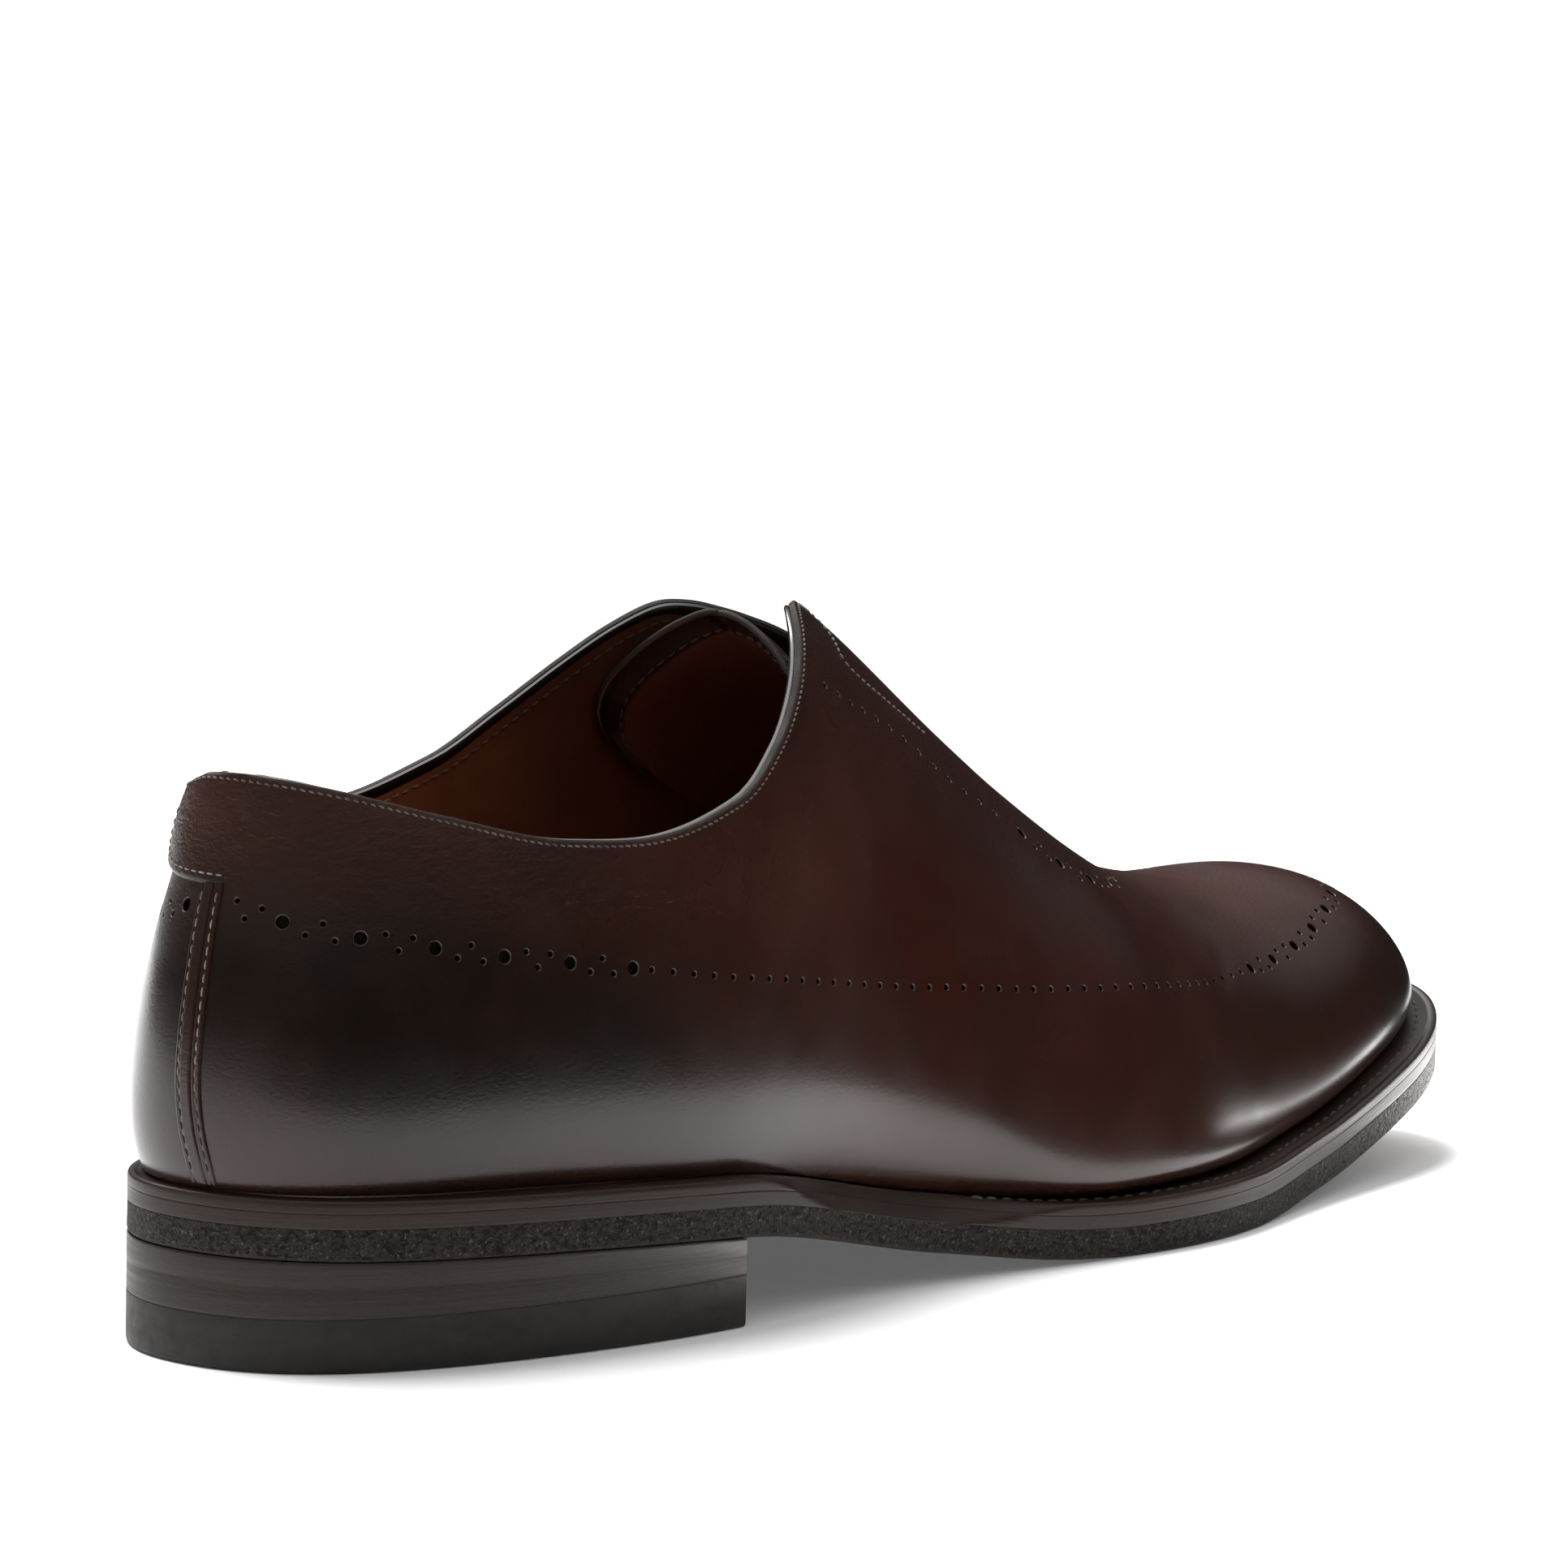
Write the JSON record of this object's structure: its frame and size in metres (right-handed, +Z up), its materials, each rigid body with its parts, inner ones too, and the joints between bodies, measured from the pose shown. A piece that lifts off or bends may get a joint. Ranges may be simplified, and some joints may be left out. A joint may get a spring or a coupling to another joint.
{
  "type": "slip-on loafer",
  "caption": "Laceless leather dress shoe for the right foot: slit throat, tongue, heel tab, bevelled waist, welted sole and stacked heel.",
  "frame": {"origin": "on the floor, under the middle of the shoe's length and breadth", "axes": "+X from heel to toe, +Y towards the inner (medial) side of the right foot, +Z up"},
  "size_m": [0.3035, 0.0978, 0.1039],
  "materials": {
    "upper_leather": "burnished smooth calf, satin gloss",
    "tongue_leather": "dark smooth calf, satin",
    "insole_leather": "cognac lining leather, matt",
    "welt_leather": "burnished edge, satin",
    "midsole_leather": "burnished edge, satin",
    "outsole_rubber": "pebbled, matt",
    "stack_leather": "burnished stack, satin",
    "lift_rubber": "smooth, matt"
  },
  "bodies": {
    "root": {"heel_top_lift": "lift_rubber", "heel_stack": "stack_leather", "outsole": "outsole_rubber", "midsole": "midsole_leather", "welt": "welt_leather", "insole": "insole_leather", "upper": "upper_leather", "heel_tab": "upper_leather", "back_strip": "upper_leather", "tongue": "tongue_leather"}
  },
  "joints": []
}
